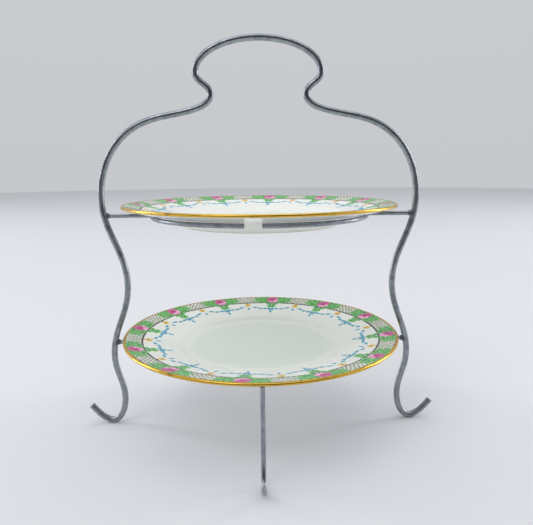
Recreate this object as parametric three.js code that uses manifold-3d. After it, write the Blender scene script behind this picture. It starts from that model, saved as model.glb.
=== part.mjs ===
// A two-tier cake stand: two china plates that rest in a stand of bent and welded steel wire.
//
// Millimetres, +Z up. The origin is on the table under the middle of the stand, +X runs to the
// right-hand upright and -Y is the front. The stand is symmetric left to right and front to
// back, apart from the opening in the upper ring. Where two pieces are welded, or one rests on
// another, the model keeps a small gap between them.

import * as THREE from 'three'
import { mergeVertices } from 'three/addons/utils/BufferGeometryUtils.js'
import Module from 'manifold-3d'

// ---------------------------------------------------------------- driving dimensions

const jointGap = 0.3

// Stock
const rodDiameter = 6
const wireDiameter = 4

// Plates, each standing on a foot ring under its well
const lowerPlateRadius = 134.5
const upperPlateRadius = 129.5
const plateHeight = 21
const rimEdge = 2.8
const rimThickness = 3.8
const wellRadius = 86
const wellFloorRadius = 72
const wellStep = 5
const kneeBeyondWell = 2
const floorThickness = 3.6
const footRadius = 73
const footWidth = 3.2
const footHeight = 3.4

// Plate rings
const ringInset = 28
const lowerRingHeight = 86.6
const tierSpacing = 126.5
const ringOpening = 14
const ringOpeningOffset = -6

// Uprights: how far the bends of the rod's centre line stand from the plates and rings
const bulgeBeyondLowerPlate = 13.3
const bulgeBelowRing = 14.6
const waistInsideBulge = 17.1
const waistAboveRing = 59.4
const shoulderBeyondUpperPlate = 21.8
const shoulderAboveRing = 16
const slopeInsideShoulder = 42.8
const slopeAboveRing = 86.6
const slopeAngle = -22

// Neck and handle
const neckHalfWidth = 44.5
const neckAboveRing = 111.6
const neckTurnWidth = 11
const neckTurnDrop = 11.5
const neckTurnAngle = -20
const handleHalfWidth = 58.2
const handleAboveNeck = 19.7
const handleCrown = 30.2

// Feet
const ankleInsideBulge = 8.2
const ankleHeight = 27.8
const ankleToSole = 13.2
const soleToTip = 21.4
const tipRise = 16.5
const tipAngle = 50
const tipStraight = 7
const legAnkleBeyondRing = 5

// Welds: how far a bead reaches past the surface of the thinner piece
const rodBeadReach = 1.9
const ringBeadReach = 1.3

// How finely round shapes are divided
const rodSides = 12
const wireSides = 8
const bendSteps = 7
const ringSteps = 64
const plateSegments = 60
const faceSamples = 24

// ---------------------------------------------------------------- worked out from these

const rodRadius = rodDiameter / 2
const wireRadius = wireDiameter / 2
const lowerRingRadius = lowerPlateRadius - ringInset
const upperRingRadius = upperPlateRadius - ringInset
const upperRingHeight = lowerRingHeight + tierSpacing
const floorTop = footHeight + floorThickness
const shoulderTop = floorTop + wellStep

// ---------------------------------------------------------------- bent centre lines

// A centre line is a row of stations in a vertical plane. Each gives the distance out from the
// middle, the height, and the heading in degrees, where 0 points outward and -90 down.
const station = (out, up, heading) => ({
  at: new THREE.Vector2(out, up),
  along: new THREE.Vector2(1, 0).rotateAround(new THREE.Vector2(), THREE.MathUtils.degToRad(heading)),
})

// One smooth bend between two stations: a round turn where their tangents meet on the way, and
// otherwise a gentle S.
function bend(from, to) {
  const across = to.at.clone().sub(from.at)
  const meeting = from.along.cross(to.along)
  const before = across.cross(to.along) / meeting
  const after = from.along.cross(across) / meeting
  const isTurn = Math.abs(meeting) > 1e-6 && before > 0 && after > 0
  const turn = Math.acos(THREE.MathUtils.clamp(from.along.dot(to.along), -1, 1))
  const roundness = (4 / 3) * Math.tan(turn / 4) / Math.tan(turn / 2)
  const easing = 0.38 * across.length()
  const leave = isTurn ? roundness * before : easing
  const arrive = isTurn ? roundness * after : easing
  const corners = [
    from.at,
    from.at.clone().addScaledVector(from.along, leave),
    to.at.clone().addScaledVector(to.along, -arrive),
    to.at,
  ]
  return new THREE.CubicBezierCurve3(...corners.map(({ x, y }) => new THREE.Vector3(x, 0, y)))
}

// A chain of bends, each walked in the same number of steps so that tight bends stay round
class BentLine extends THREE.Curve {
  constructor(stations) {
    super()
    this.bends = stations.slice(1).map((to, index) => bend(stations[index], to))
    this.steps = this.bends.length * bendSteps
  }

  getPoint(share, target) {
    const place = share * this.bends.length
    const index = Math.min(Math.floor(place), this.bends.length - 1)
    return this.bends[index].getPoint(place - index, target)
  }

  getPointAt(share, target) {
    return this.getPoint(share, target)
  }

  getTangentAt(share, target) {
    return this.getTangent(share, target)
  }
}

// An open ring in the horizontal plane, from one side of its opening round to the other
class OpenRing extends THREE.Curve {
  constructor(radius, middleOfOpening, opening) {
    super()
    this.radius = radius
    this.start = middleOfOpening + opening / 2
    this.sweep = 2 * Math.PI - opening
  }

  getPoint(share, target = new THREE.Vector3()) {
    const angle = this.start + share * this.sweep
    return target.set(this.radius * Math.cos(angle), this.radius * Math.sin(angle), 0)
  }
}

// A hook foot from its ankle: down and round to the sole, then out and up to the square-cut tip
function hookFoot(ankleOut, soleHeight) {
  const soleOut = ankleOut + ankleToSole
  const tip = station(soleOut + soleToTip, soleHeight + tipRise, tipAngle)
  const straightStart = tip.at.clone().addScaledVector(tip.along, -tipStraight)
  return [
    station(ankleOut, ankleHeight, -90),
    station(soleOut, soleHeight, 0),
    station(straightStart.x, straightStart.y, tipAngle),
    tip,
  ]
}

// The rod's right-hand half, from the crown of the handle down to the tip of the foot
function halfRodStations() {
  const shoulderOut = upperPlateRadius + shoulderBeyondUpperPlate
  const bulgeOut = lowerPlateRadius + bulgeBeyondLowerPlate
  const neckHeight = upperRingHeight + neckAboveRing
  const handleHeight = neckHeight + handleAboveNeck
  return [
    station(0, handleHeight + handleCrown, 0),
    station(handleHalfWidth, handleHeight, -90),
    station(neckHalfWidth, neckHeight, -90),
    station(neckHalfWidth + neckTurnWidth, neckHeight - neckTurnDrop, neckTurnAngle),
    station(shoulderOut - slopeInsideShoulder, upperRingHeight + slopeAboveRing, slopeAngle),
    station(shoulderOut, upperRingHeight + shoulderAboveRing, -90),
    station(bulgeOut - waistInsideBulge, lowerRingHeight + waistAboveRing, -90),
    station(bulgeOut, lowerRingHeight - bulgeBelowRing, -90),
    ...hookFoot(bulgeOut - ankleInsideBulge, rodRadius),
  ]
}

// The same station on the left-hand side, met on the way up
const mirrored = ({ at, along }) => ({
  at: new THREE.Vector2(-at.x, at.y),
  along: new THREE.Vector2(along.x, -along.y),
})

function rodLine() {
  const rightHalf = halfRodStations()
  const leftHalf = rightHalf.slice(1).reverse().map(mirrored)
  return new BentLine([...leftHalf, ...rightHalf])
}

// A wire leg hangs from the underside of the lower ring and ends in the same hook foot. What
// clears a way for it starts further up, inside the ring.
function legLine(headroom) {
  const top = lowerRingHeight - wireRadius - jointGap
  const start = headroom > 0 ? [station(lowerRingRadius, top + headroom, -90)] : []
  const foot = hookFoot(lowerRingRadius + legAnkleBeyondRing, wireRadius)
  return new BentLine([...start, station(lowerRingRadius, top, -90), ...foot])
}

// ---------------------------------------------------------------- shapes

const circle = (radius, sides) => new THREE.EllipseCurve(0, 0, radius, radius).getPoints(sides).slice(0, -1)

const sweep = (line, radius, sides, steps) =>
  new THREE.ExtrudeGeometry(new THREE.Shape(circle(radius, sides)), { extrudePath: line, steps })

const bentShape = (line, radius, sides) => sweep(line, radius, sides, line.steps)
const rodShape = (radius) => bentShape(rodLine(), radius, rodSides)
const legShape = (radius, headroom = 0) => bentShape(legLine(headroom), radius, wireSides)

function openRingShape(radius) {
  const middle = -Math.PI / 2 + ringOpeningOffset / upperRingRadius
  const line = new OpenRing(upperRingRadius, middle, ringOpening / upperRingRadius)
  return sweep(line, radius, wireSides, ringSteps)
}

function closedRingShape(radius) {
  const section = circle(radius, wireSides).map(({ x, y }) => new THREE.Vector2(lowerRingRadius + x, y))
  return new THREE.LatheGeometry([...section, section[0]], ringSteps).rotateX(Math.PI / 2)
}

const barShape = (radius, length) =>
  new THREE.CylinderGeometry(radius, radius, length, wireSides).rotateZ(Math.PI / 2)

const topSlope = (plateRadius) => Math.atan2(plateHeight - shoulderTop, plateRadius - wellRadius)

// Where the underside turns from the wall of the well to run out along the rim
function rimKnee(plateRadius) {
  const topAtKnee = shoulderTop + kneeBeyondWell * Math.tan(topSlope(plateRadius))
  return new THREE.Vector2(wellRadius + kneeBeyondWell, topAtKnee - rimThickness)
}

// The slope of the rim's underside, which the ring wire bears on
function rimSlope(plateRadius) {
  const knee = rimKnee(plateRadius)
  return Math.atan2(plateHeight - rimEdge - knee.y, plateRadius - rimEdge / 2 - knee.x)
}

// A plate stands on z = 0. Its section runs from the axis out under the floor, round the foot,
// up the wall to the knee, out under the rim, round the edge and back in over the rim and the
// well.
function plateShape(plateRadius) {
  const footOut = footRadius + footWidth / 2
  const footIn = footRadius - footWidth / 2
  const edge = new THREE.Vector2(plateRadius - rimEdge / 2, plateHeight - rimEdge / 2)
  const knee = rimKnee(plateRadius)
  const slope = topSlope(plateRadius)
  const wallRun = (wellRadius - wellFloorRadius) * 0.45
  const section = new THREE.Path()
  section.moveTo(0, footHeight)
  section.lineTo(footIn, footHeight)
  section.absarc(footRadius, footWidth / 2, footWidth / 2, Math.PI, 2 * Math.PI)
  section.lineTo(footOut, footHeight)
  section.lineTo(knee.x, knee.y)
  const underside = rimSlope(plateRadius) - Math.PI / 2
  section.absarc(edge.x, edge.y, rimEdge / 2, underside, slope + Math.PI / 2)
  section.lineTo(wellRadius, shoulderTop)
  section.bezierCurveTo(
    wellRadius - wallRun, shoulderTop - wallRun * Math.tan(slope),
    wellFloorRadius + wallRun, floorTop,
    wellFloorRadius, floorTop,
  )
  section.lineTo(0, floorTop)
  return new THREE.LatheGeometry(section.getPoints(3), plateSegments).rotateX(Math.PI / 2)
}

// The height at which a plate's foot hangs so that its rim rests on the ring wire
function plateBase(plateRadius, ringHeight) {
  const slope = rimSlope(plateRadius)
  const undersideAtEdge = plateHeight - rimEdge / 2 - rimEdge / 2 / Math.cos(slope)
  const undersideAtRing = undersideAtEdge - (ringInset - rimEdge / 2) * Math.tan(slope)
  return ringHeight + (wireRadius + jointGap) / Math.cos(slope) - undersideAtRing
}

// ---------------------------------------------------------------- joints

// How far out a level bar may reach at a height before it meets the upright's inner side. The
// upright is straight from each step of its centre line to the next, as its shape is.
function uprightFace(height) {
  const reach = rodRadius + jointGap
  const corners = rodLine().getPoints(rodLine().steps)
  const upright = new THREE.CurvePath()
  corners.slice(1).forEach((to, index) => upright.add(new THREE.LineCurve3(corners[index], to)))
  const faces = upright.getSpacedPoints(faceSamples * corners.length).map(({ x, z }) => {
    const apart = Math.max(0, Math.abs(z - height) - wireRadius)
    return x > 0 && apart < reach ? x - Math.sqrt(reach ** 2 - apart ** 2) : Infinity
  })
  return Math.min(...faces)
}

const wasm = await Module()
wasm.setup()

function toSolid(geometry) {
  const bare = geometry.clone()
  bare.deleteAttribute('normal')
  bare.deleteAttribute('uv')
  const { attributes, index } = mergeVertices(bare)
  const triVerts = Uint32Array.from(index.array)
  return new wasm.Manifold(new wasm.Mesh({ numProp: 3, vertProperties: attributes.position.array, triVerts }))
}

function toGeometry(solid) {
  const { vertProperties, triVerts } = solid.getMesh()
  const geometry = new THREE.BufferGeometry()
  geometry.setAttribute('position', new THREE.BufferAttribute(vertProperties, 3))
  geometry.setIndex(new THREE.BufferAttribute(triVerts, 1))
  geometry.computeVertexNormals()
  return geometry
}

// A bead of weld metal round the end of a wire, less whatever it has to keep clear of
function beadShape(at, reach, cutters) {
  const bead = new THREE.SphereGeometry(wireRadius + reach, 12, 8).translate(at.x, at.y, at.z)
  const solid = cutters.reduce((rest, cutter) => rest.subtract(cutter), toSolid(bead))
  return toGeometry(solid).translate(-at.x, -at.y, -at.z)
}

// All that is above a level, which keeps a bead off the top of the ring that a plate rests on
function spaceAbove(at) {
  const side = 4 * wireDiameter
  return toSolid(new THREE.BoxGeometry(side, side, side).translate(at.x, at.y, at.z + side / 2))
}

// ---------------------------------------------------------------- the pieces

const steel = () => new THREE.MeshStandardMaterial({ color: 0x6d747a, roughness: 0.38, metalness: 1 })
const china = () => new THREE.MeshStandardMaterial({ color: 0xe8ebe3, roughness: 0.14, metalness: 0 })

function piece(name, geometry, material, position = new THREE.Vector3(), turn = 0) {
  const mesh = new THREE.Mesh(geometry, material)
  mesh.name = name
  mesh.position.copy(position)
  mesh.rotation.z = turn
  return mesh
}

// One tier's ring with the two bars that hang it between the uprights, and their weld beads
function tierPieces(tier, ringHeight, ringRadius, ringShape) {
  const barStart = ringRadius + wireRadius + jointGap
  const barEnd = uprightFace(ringHeight)
  const barLength = barEnd - barStart
  const level = new THREE.Vector3(0, 0, ringHeight)
  const fatRod = toSolid(rodShape(rodRadius + jointGap))
  const fatRing = toSolid(ringShape(wireRadius + jointGap).translate(0, 0, ringHeight))
  const pieces = [piece(`${tier}_ring`, ringShape(wireRadius), steel(), level)]
  for (const [side, sign] of [['left', -1], ['right', 1]]) {
    const middle = new THREE.Vector3(sign * (barStart + barEnd) / 2, 0, ringHeight)
    const outer = new THREE.Vector3(sign * barEnd, 0, ringHeight)
    const inner = new THREE.Vector3(sign * barStart, 0, ringHeight)
    const longBar = barShape(wireRadius + jointGap, barLength + 2 * jointGap)
    const fatBar = toSolid(longBar.translate(middle.x, middle.y, middle.z))
    const outerBead = beadShape(outer, rodBeadReach, [fatRod, fatBar])
    const innerBead = beadShape(inner, ringBeadReach, [fatRing, fatBar, spaceAbove(inner)])
    pieces.push(
      piece(`${tier}_${side}_bar`, barShape(wireRadius, barLength), steel(), middle),
      piece(`weld_${tier}_${side}_upright`, outerBead, steel(), outer),
      piece(`weld_${tier}_${side}_ring`, innerBead, steel(), inner),
    )
  }
  return pieces
}

// The wire leg at the front or the back, and the bead that joins it to the lower ring
function legPieces(end, turn) {
  const joint = new THREE.Vector3(lowerRingRadius, 0, lowerRingHeight - wireRadius - jointGap)
  const beadTop = joint.clone().setZ(lowerRingHeight - wireRadius / 2)
  const fatRing = toSolid(closedRingShape(wireRadius + jointGap).translate(0, 0, lowerRingHeight))
  const fatLeg = toSolid(legShape(wireRadius + jointGap, wireRadius))
  const bead = beadShape(joint, ringBeadReach, [fatRing, fatLeg, spaceAbove(beadTop)])
  const beadPlace = joint.clone().applyAxisAngle(new THREE.Vector3(0, 0, 1), turn)
  return [
    piece(`${end}_leg`, legShape(wireRadius), steel(), new THREE.Vector3(), turn),
    piece(`weld_${end}_leg`, bead, steel(), beadPlace, turn),
  ]
}

function plate(name, plateRadius, ringHeight) {
  const base = new THREE.Vector3(0, 0, plateBase(plateRadius, ringHeight))
  return piece(name, plateShape(plateRadius), china(), base)
}

const stand = new THREE.Group()
stand.add(
  piece('main_rod', rodShape(rodRadius), steel()),
  ...tierPieces('lower', lowerRingHeight, lowerRingRadius, closedRingShape),
  ...tierPieces('upper', upperRingHeight, upperRingRadius, openRingShape),
  ...legPieces('front', -Math.PI / 2),
  ...legPieces('rear', Math.PI / 2),
)

const cakeStand = new THREE.Group()
cakeStand.add(
  stand,
  plate('lower_plate', lowerPlateRadius, lowerRingHeight),
  plate('upper_plate', upperPlateRadius, upperRingHeight),
)

export default cakeStand
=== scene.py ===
"""A two-tier wire cake stand with two enamelled bone china plates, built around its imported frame.

Everything is in metres, with +Z up, the front towards -Y and the table at z = 0.
"""

import math
import random
from functools import partial
from itertools import product

import bmesh
import bpy
from bpy.props import FloatProperty, FloatVectorProperty, IntProperty, PointerProperty
from mathutils import Matrix, Vector, noise
from mathutils.geometry import interpolate_bezier


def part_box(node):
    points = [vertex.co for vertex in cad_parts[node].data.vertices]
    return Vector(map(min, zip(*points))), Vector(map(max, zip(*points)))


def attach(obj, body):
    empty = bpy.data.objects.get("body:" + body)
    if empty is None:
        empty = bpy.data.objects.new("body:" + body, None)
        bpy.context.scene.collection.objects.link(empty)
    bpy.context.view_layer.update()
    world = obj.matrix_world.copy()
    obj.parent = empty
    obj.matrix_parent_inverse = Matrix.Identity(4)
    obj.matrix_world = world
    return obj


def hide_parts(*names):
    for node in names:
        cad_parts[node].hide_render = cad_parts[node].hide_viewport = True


bl_info = {
    "name": "Two-Tier Cake Stand",
    "version": (1, 0, 0),
    "blender": (4, 5, 0),
    "location": "3D View > Sidebar > Cake Stand",
    "description": "Builds a bent-wire cake stand and its two enamelled china plates",
    "category": "Object",
}

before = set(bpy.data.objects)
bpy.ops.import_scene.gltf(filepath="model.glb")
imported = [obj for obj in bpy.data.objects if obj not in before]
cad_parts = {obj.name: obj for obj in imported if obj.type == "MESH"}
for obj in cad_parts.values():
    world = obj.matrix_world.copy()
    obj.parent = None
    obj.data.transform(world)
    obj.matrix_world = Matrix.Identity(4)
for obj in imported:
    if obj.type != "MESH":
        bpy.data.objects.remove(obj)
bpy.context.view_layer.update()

MM = 0.001
WIRE_MAP = "along_wire"
PATTERN_MAP = "pattern"

TIERS = ("lower", "upper")
SIDES = (("left", -1), ("right", 1))
PLATES = {tier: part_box(f"{tier}_plate") for tier in TIERS}
RING_BOXES = {tier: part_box(f"{tier}_ring") for tier in TIERS}
WIRE_DIAMETER = RING_BOXES["lower"][1].z - RING_BOXES["lower"][0].z
# Height and radius of each ring's centre line
RINGS = {
    tier: ((low.z + high.z) / 2, high.x - WIRE_DIAMETER / 2)
    for tier, (low, high) in RING_BOXES.items()
}


# ---------------------------------------------------------------- sizes and colours


def length(name, description, millimetres):
    return FloatProperty(
        name=name, description=description, default=millimetres * MM, unit="LENGTH", precision=4
    )


def angle(name, description, degrees):
    size = math.radians(degrees)
    return FloatProperty(
        name=name, description=description, default=size, subtype="ANGLE", unit="ROTATION"
    )


def linear(hex_code):
    """An sRGB hex colour as linear red, green and blue."""
    shares = [int(hex_code[i : i + 2], 16) / 255 for i in (0, 2, 4)]
    return tuple(s / 12.92 if s <= 0.04045 else ((s + 0.055) / 1.055) ** 2.4 for s in shares)


def colour(name, description, hex_code):
    return FloatVectorProperty(
        name=name, description=description, default=linear(hex_code), subtype="COLOR", min=0, max=1
    )


class RodSizes(bpy.types.PropertyGroup):
    """The bends of the main rod, placed from the plates and rings that it carries."""

    diameter: length("Rod", "Diameter of the main rod", 6)
    bulge_out: length("Bulge", "Lower bulge beyond the lower plate", 13.3)
    bulge_drop: length("Bulge drop", "Lower bulge below the lower ring", 14.6)
    waist_in: length("Waist", "Waist inside the lower bulge", 17.1)
    waist_up: length("Waist height", "Waist above the lower ring", 59.4)
    shoulder_out: length("Shoulder", "Shoulder beyond the upper plate", 21.8)
    shoulder_up: length("Shoulder height", "Shoulder above the upper ring", 16)
    slope_in: length("Slope", "Start of the slope inside the shoulder", 42.8)
    slope_up: length("Slope height", "Start of the slope above the upper ring", 86.6)
    slope_angle: angle("Slope angle", "Fall of the slope", 22)
    neck_half: length("Neck", "Half the width of the neck", 44.5)
    neck_up: length("Neck height", "Neck above the upper ring", 111.6)
    neck_turn: length("Neck turn", "Width of the bend under the neck", 11)
    neck_turn_drop: length("Neck turn drop", "Depth of the bend under the neck", 11.5)
    neck_turn_angle: angle("Neck turn angle", "Fall at the end of that bend", 20)
    handle_half: length("Handle", "Half the width of the handle loop", 58.2)
    handle_up: length("Handle height", "Widest part of the handle above the neck", 19.7)
    handle_crown: length("Handle crown", "Rise from there to the crown", 30.2)


class FootSizes(bpy.types.PropertyGroup):
    """The hook that ends each upright and each wire leg, and the opening of the upper ring."""

    ankle_in: length("Ankle", "Ankle inside the lower bulge", 8.2)
    ankle_up: length("Ankle height", "Ankle above the table", 27.8)
    sole: length("Sole", "Ankle to the middle of the sole", 13.2)
    tip_out: length("Tip", "Sole to the tip of the hook", 21.4)
    tip_up: length("Tip rise", "Rise from the sole to the tip", 16.5)
    tip_angle: angle("Tip angle", "Rise of the tip", 50)
    tip_straight: length("Tip straight", "Straight length behind the tip", 7)
    leg_out: length("Leg ankle", "Ankle of a wire leg beyond the lower ring", 5)
    ring_opening: length("Ring opening", "Gap between the ends of the upper ring", 14)
    opening_offset: length("Opening offset", "Gap to the left of the middle", 6)


class PlateSizes(bpy.types.PropertyGroup):
    """The turned section that both plates share."""

    height: length("Height", "Height of a plate", 21)
    rim_edge: length("Edge", "Thickness of the rounded edge", 2.8)
    rim_thickness: length("Rim thickness", "Thickness at the inside of the rim", 3.8)
    knee: length("Knee", "Bend of the underside beyond the top of the well", 2)
    well_radius: length("Well", "Radius at the top of the well", 86)
    floor_radius: length("Floor", "Radius of the flat floor", 72)
    well_step: length("Step", "Depth of the well", 5)
    floor_thickness: length("Thickness", "Thickness of the floor", 3.6)
    foot_radius: length("Foot", "Radius of the foot ring", 73)
    foot_width: length("Foot width", "Width of the foot ring", 3.2)
    foot_height: length("Foot height", "Height of the foot ring", 3.4)


class BorderSizes(bpy.types.PropertyGroup):
    """The decoration, as on the lower plate; the upper plate's is scaled to its radius."""

    repeats: IntProperty(name="Roses", description="Roses round a plate", default=12, min=3, max=24)
    lower_turn: angle("Lower turn", "Angle of the lower plate's first rose", 22.7)
    upper_turn: angle("Upper turn", "Angle of the upper plate's first rose", 23.8)
    gilt: length("Gilt", "Width of the gilding on top of the rim", 2.4)
    hairline: length("Hairline", "Width of the line inside the gilding", 0.6)
    ground: length("Ground", "Width of the printed lattice band", 14)
    dark_line: length("Dark line", "Width of the line inside the lattice", 1.9)
    lattice: length("Lattice", "Pitch of the lattice", 3.6)
    rose: length("Rose", "Radius of a rose", 7.6)
    film: length("Film", "Thickness of the printed colour", 0.05)
    enamel: length("Enamel", "Height of a spot of enamel", 0.16)


class Colours(bpy.types.PropertyGroup):
    """The colours of the steel, the china, its decoration and the stage."""

    steel: colour("Steel", "Clean plating on drawn wire", "9CA1A8")
    steel_dark: colour("Tarnish", "Dull patches of the plating", "5E636B")
    weld: colour("Weld", "Plated weld metal", "6E727A")
    china: colour("China", "Body under a thin glaze", "F4F4EE")
    # This colour stands for thick glaze and painted shade together, on the floor of the well.
    china_pooled_and_shaded: colour("Pooled glaze", "Body where the glaze lies thick", "DAE4DB")
    biscuit: colour("Biscuit", "Bare body under the foot ring", "D9D3C6")
    gilt: colour("Gilt", "Burnished gold", "E0B54A")
    gilt_worn: colour("Worn gilt", "Gold rubbed thin", "8C6A35")
    line: colour("Line", "Dark banded line", "2E2A28")
    hairline: colour("Hairline", "Brown line inside the gilding", "6B4A26")
    ground: colour("Ground", "Cells of the printed lattice", "F6F4E8")
    ground_tint: colour("Tinted ground", "Greener cells of the lattice", "C9D9BF")
    leafy_ground: colour("Leafy ground", "Cells beside a rose", "86CC72")
    lattice: colour("Lattice", "Lines of the lattice", "54483B")
    leaf: colour("Leaf", "Light side of a leaf", "74D65F")
    leaf_dark: colour("Leaf vein", "Vein and base of a leaf", "178A36")
    bud: colour("Bud", "Dark spots among the leaves", "17321D")
    rose_pale: colour("Pale rose", "Edges of the petals in the light", "FBC9E0")
    rose: colour("Rose", "Petals", "DE4FA3")
    rose_deep: colour("Deep rose", "Heart of a rose", "A8155F")
    turquoise: colour("Turquoise", "Light side of a husk", "4DB7D6")
    turquoise_dark: colour("Dark turquoise", "Shaded side of a husk", "2388AB")
    yellow: colour("Blossom", "Petals of the small flowers", "F3CC4A")
    yellow_shade: colour("Blossom shade", "Base of their petals", "D9A532")
    yellow_dark: colour("Blossom heart", "Hearts of the small flowers", "7A4E1C")
    floor: colour("Floor", "Pale studio floor", "DADBDF")
    velvet: colour("Velvet", "Black cloth in front of the stand", "26272B")
    room: colour("Room", "Pale walls all round", "EEF0F4")


GROUPS = {
    "cake_rod": RodSizes,
    "cake_feet": FootSizes,
    "cake_plates": PlateSizes,
    "cake_border": BorderSizes,
    "cake_colours": Colours,
}


def settings(name):
    return getattr(bpy.context.scene, f"cake_{name}")


# ---------------------------------------------------------------- materials

COLOUR_MIX = {"out": 2, "data_type": "RGBA"}
# What a noise mostly spans, as a Map Range's lowest and highest value in
NOISE_SPAN = {1: 0.3, 2: 0.7}


def add_node(tree, kind, inputs=None, out=0, **options):
    """Adds a shader node, sets its options and inputs, links the inputs that are given as
    sockets, and returns the output asked for."""
    made = tree.nodes.new(f"ShaderNode{kind}")
    for name, value in options.items():
        setattr(made, name, value)
    for name, value in (inputs or {}).items():
        if isinstance(value, bpy.types.NodeSocket):
            tree.links.new(value, made.inputs[name])
        else:
            made.inputs[name].default_value = value
    return made.outputs[out] if made.outputs else None


def tone(name):
    return (*getattr(settings("colours"), name), 1)


def finish(make):
    """The material that make describes, named after it and built only once. make is given a way
    to add nodes, and returns what the material's shader takes."""
    found = bpy.data.materials.get(make.__name__)
    if found:
        return found
    material = bpy.data.materials.new(make.__name__)
    material.use_nodes = True
    tree = material.node_tree
    tree.nodes.clear()
    surface = add_node(tree, "BsdfPrincipled", make(partial(add_node, tree)))
    add_node(tree, "OutputMaterial", {"Surface": surface})
    return material


def dull_nickel_plated_drawn_steel(add):
    """Steel wire drawn through a die, then dull nickel plated: grey satin with lines along it."""
    # Die lines are about 0.05 mm apart; drawn at 0.5 mm, as coarse as they need to show.
    die_line, streak, mottle = 0.5 * MM, 40 * MM, 7 * MM
    place = add("UVMap", uv_map=WIRE_MAP)
    stretch = {0: place, 1: (1 / die_line, 1 / streak, 1)}
    stretched = add("VectorMath", stretch, operation="MULTIPLY")
    drawn = {"Vector": stretched, "Scale": 1, "Detail": 3, "Roughness": 0.6}
    lines = add("TexNoise", drawn)
    own = add("TexCoord", out="Object")
    cloudy = add("TexNoise", {"Vector": own, "Scale": 1 / mottle, "Detail": 5})
    patches = add("MapRange", {0: cloudy, 1: 0.42, 2: 0.66, 3: 0, 4: 1})
    dull = add("Mix", {0: lines, 6: tone("steel_dark"), 7: tone("steel")}, **COLOUR_MIX)
    metal = add("Mix", {0: patches, 6: tone("steel"), 7: dull}, **COLOUR_MIX)
    roughness = add("MapRange", {0: lines, **NOISE_SPAN, 3: 0.24, 4: 0.4})
    relief = add("Bump", {"Height": lines, "Strength": 0.2, "Distance": 0.03 * MM})
    return {"Base Color": metal, "Metallic": 1, "Roughness": roughness, "Normal": relief}


def nickel_plated_weld_bead(add):
    """Fused weld metal under the same plating: darker, duller and slightly pitted."""
    pit = 0.6 * MM
    own = add("TexCoord", out="Object")
    pits = add("TexNoise", {"Vector": own, "Scale": 1 / pit, "Detail": 4})
    metal = add("Mix", {0: pits, 6: tone("steel_dark"), 7: tone("weld")}, **COLOUR_MIX)
    roughness = add("MapRange", {0: pits, **NOISE_SPAN, 3: 0.34, 4: 0.55})
    relief = add("Bump", {"Height": pits, "Strength": 0.5, "Distance": 0.12 * MM})
    return {"Base Color": metal, "Metallic": 1, "Roughness": roughness, "Normal": relief}


def glazed_bone_china(add):
    """Pressed bone china under a clear fired glaze: glossy, slightly translucent and never quite
    flat, with the floor of the well greener and darker than its wall from thick glaze and painted
    shade."""
    ripple, cloud, cloudiness = 14 * MM, 45 * MM, 0.35
    own = add("TexCoord", out="Object")
    flat = add("VectorMath", {0: own, 1: (1, 1, 0)}, operation="MULTIPLY")
    radius = add("VectorMath", {0: flat}, out="Value", operation="LENGTH")
    # Thick glaze and painted shade darken the floor of the well; the glaze runs thin on its wall.
    floor = settings("plates").floor_radius
    darkest_radius, wall = floor - 9 * MM, floor + 3 * MM
    depth = {0: radius, 1: darkest_radius, 2: wall, 3: 0.55, 4: 0}
    pooled_and_shaded = add("MapRange", depth, interpolation_type="SMOOTHSTEP")
    clouds = add("TexNoise", {"Vector": own, "Scale": 1 / cloud, "Detail": 3})
    uneven = {0: clouds, 1: cloudiness, 2: pooled_and_shaded}
    # The mix share is the glaze's random unevenness plus the painted shade on the floor of the
    # well.
    thick = add("Math", uneven, operation="MULTIPLY_ADD", use_clamp=True)
    body = {0: thick, 6: tone("china"), 7: tone("china_pooled_and_shaded")}
    waves = add("TexNoise", {"Vector": own, "Scale": 1 / ripple, "Detail": 1})
    relief = add("Bump", {"Height": waves, "Strength": 0.2, "Distance": 0.12 * MM})
    return {
        "Base Color": add("Mix", body, **COLOUR_MIX),
        "Roughness": add("MapRange", {0: clouds, **NOISE_SPAN, 3: 0.07, 4: 0.13}),
        "IOR": 1.52,
        "Subsurface Weight": 0.12,
        "Subsurface Radius": (1, 0.9, 0.75),
        "Subsurface Scale": 1.2 * MM,
        "Normal": relief,
    }


def ground_biscuit_china(add):
    """The foot ring, wiped of glaze and ground flat: dry, sandy and faintly soiled."""
    grain = 0.5 * MM
    own = add("TexCoord", out="Object")
    sand = add("TexNoise", {"Vector": own, "Scale": 1 / grain, "Detail": 4})
    clean = add("MapRange", {0: sand, 1: 0.2, 2: 0.45, 3: 0.6, 4: 1})
    body = add("Mix", {0: clean, 6: tone("lattice"), 7: tone("biscuit")}, **COLOUR_MIX)
    relief = add("Bump", {"Height": sand, "Strength": 0.5, "Distance": 0.08 * MM})
    return {"Base Color": body, "Roughness": 0.75, "IOR": 1.5, "Normal": relief}


def burnished_gold_on_glaze(add):
    """Gold brushed on while the plate turned, fired and burnished: bright, with brush lines round
    the rim and brown where it has rubbed thin."""
    brush_line, sweep, wear_size = 0.35 * MM, 30 * MM, 9 * MM
    place = add("UVMap", uv_map=PATTERN_MAP)
    stretch = {0: place, 1: (1 / sweep, 1 / brush_line, 1)}
    stretched = add("VectorMath", stretch, operation="MULTIPLY")
    lines = add("TexNoise", {"Vector": stretched, "Scale": 1, "Detail": 3})
    wear = add("TexNoise", {"Vector": place, "Scale": 1 / wear_size, "Detail": 6})
    rubbed = add("MapRange", {0: wear, 1: 0.55, 2: 0.72, 3: 0, 4: 0.7})
    gold = add("Mix", {0: rubbed, 6: tone("gilt"), 7: tone("gilt_worn")}, **COLOUR_MIX)
    roughness = add("MapRange", {0: lines, **NOISE_SPAN, 3: 0.16, 4: 0.32})
    relief = add("Bump", {"Height": lines, "Strength": 0.2, "Distance": 0.03 * MM})
    return {"Base Color": gold, "Metallic": 1, "Roughness": roughness, "Normal": relief}


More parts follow.
